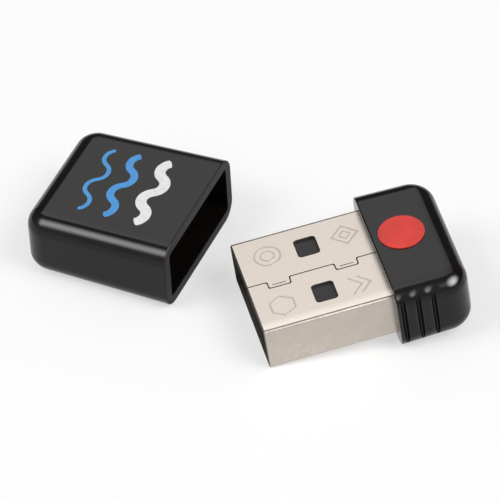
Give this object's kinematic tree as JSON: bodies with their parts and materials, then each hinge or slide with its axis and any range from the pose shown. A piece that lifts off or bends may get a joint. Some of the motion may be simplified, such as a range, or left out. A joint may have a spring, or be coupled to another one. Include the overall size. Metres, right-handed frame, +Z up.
{
  "type": "mouse jiggler",
  "caption": "Nano USB dongle with a folded metal plug and a ribbed black body, lying nose down beside its open pull-off cap.",
  "frame": {"origin": "on the table below the middle of the overall box", "axes": "+X along the cap's mouth direction, the way the cap would be pushed onto a plug; +Z up from the table"},
  "size_m": [0.04, 0.021, 0.0074],
  "materials": {
    "black_cap": "gloss",
    "black_body": "gloss",
    "red_mark": "satin",
    "nickel_sheet": "satin",
    "black_insulator": "matte",
    "gold": "polished",
    "board_green": "satin",
    "chip_black": "matte",
    "crystal_can": "satin",
    "capacitor_tan": "matte",
    "resistor_black": "matte"
  },
  "bodies": {
    "dongle": {"plug_shell": "nickel_sheet", "plug_insulator": "black_insulator", "housing_shell": "black_body", "badge": "red_mark", "circuit_board": "board_green", "vbus_contact": "gold", "data_minus_contact": "gold", "data_plus_contact": "gold", "ground_contact": "gold", "load_capacitor_1": "capacitor_tan", "crystal": "crystal_can", "load_capacitor_2": "capacitor_tan", "controller_chip": "chip_black", "voltage_regulator": "chip_black", "bulk_capacitor": "capacitor_tan", "decoupling_capacitor_1": "capacitor_tan", "data_resistor_1": "resistor_black", "data_resistor_2": "resistor_black", "esd_array": "chip_black", "pull_up_resistor": "resistor_black", "decoupling_capacitor_2": "capacitor_tan"},
    "cap": {"cap_shell": "black_cap"}
  },
  "joints": [
    {"name": "cap_pull", "type": "slide", "parent": "dongle", "child": "cap", "axis": [1, 0, 0], "range_m": [-0.01175, 0]}
  ]
}
